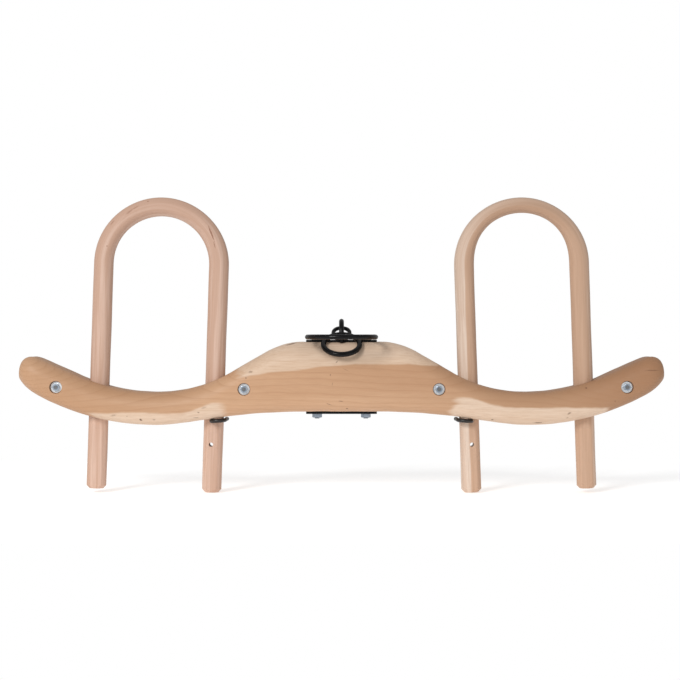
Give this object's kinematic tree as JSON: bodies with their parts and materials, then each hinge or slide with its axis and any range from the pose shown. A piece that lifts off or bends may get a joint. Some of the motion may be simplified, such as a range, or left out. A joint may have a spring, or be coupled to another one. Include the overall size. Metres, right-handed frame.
{
  "type": "ox yoke",
  "caption": "Double ox yoke stored belly up: carved wooden beam with neck seats, bent wooden bows held by hairpin bow pins, tie bolts, and an iron staple with swinging rings.",
  "frame": {"origin": "middle of the crown plate's outer face, on the beam's middle plane", "axes": "+X along the beam, +Y to the back, away from the recessed nuts, +Z from the crown to the belly"},
  "size_m": [1.288, 0.2034, 0.593],
  "materials": {
    "beam_wood": "oiled, satin",
    "bow_wood": "oiled, satin",
    "black_iron": "gloss black",
    "zinc_steel": "bright zinc",
    "pin_iron": "satin black"
  },
  "bodies": {
    "yoke": {"beam": "beam_wood", "belly_plate": "black_iron", "crown_plate": "black_iron", "staple": "black_iron", "staple_welds": "black_iron", "plate_bolt_left": "black_iron", "plate_nut_left": "zinc_steel", "plate_bolt_right": "black_iron", "plate_nut_right": "zinc_steel", "tie_bolt_inner_left": "zinc_steel", "tie_washer_inner_left": "zinc_steel", "tie_nut_inner_left": "zinc_steel", "tie_bolt_inner_right": "zinc_steel", "tie_washer_inner_right": "zinc_steel", "tie_nut_inner_right": "zinc_steel", "tie_bolt_outer_left": "zinc_steel", "tie_washer_outer_left": "zinc_steel", "tie_nut_outer_left": "zinc_steel", "tie_bolt_outer_right": "zinc_steel", "tie_washer_outer_right": "zinc_steel", "tie_nut_outer_right": "zinc_steel"},
    "bow_left": {"bow_left": "bow_wood"},
    "bow_right": {"bow_right": "bow_wood"},
    "pin_left": {"bow_pin_left": "pin_iron"},
    "pin_right": {"bow_pin_right": "pin_iron"},
    "pole_ring": {"pole_ring": "black_iron"},
    "chain_ring": {"chain_ring": "black_iron"},
    "link_ring": {"link_ring": "black_iron"}
  },
  "joints": [
    {"name": "bow_left_slide", "type": "slide", "parent": "yoke", "child": "bow_left", "axis": [0.0332, 0, 0.9995], "range_m": [-0.18, 0]},
    {"name": "bow_right_slide", "type": "slide", "parent": "yoke", "child": "bow_right", "axis": [-0.0332, 0, 0.9995], "range_m": [-0.18, 0]},
    {"name": "pin_left_pull", "type": "slide", "parent": "bow_left", "child": "pin_left", "axis": [0, -1, 0], "range_m": [0, 0.06]},
    {"name": "pin_right_pull", "type": "slide", "parent": "bow_right", "child": "pin_right", "axis": [0, -1, 0], "range_m": [0, 0.06]},
    {"name": "pole_ring_swing", "type": "hinge", "parent": "yoke", "child": "pole_ring", "pos_m": [0, -0.0042, 0.1538], "axis": [1, 0, 0], "range_deg": [-165, 0]},
    {"name": "chain_ring_swing", "type": "hinge", "parent": "yoke", "child": "chain_ring", "pos_m": [0, -0.0146, 0.15882], "axis": [1, 0, 0], "range_deg": [-122, 0]},
    {"name": "link_ring_swing", "type": "hinge", "parent": "yoke", "child": "link_ring", "pos_m": [0, 0.008, 0.1528], "axis": [1, 0, 0], "range_deg": [-36, 0]}
  ]
}
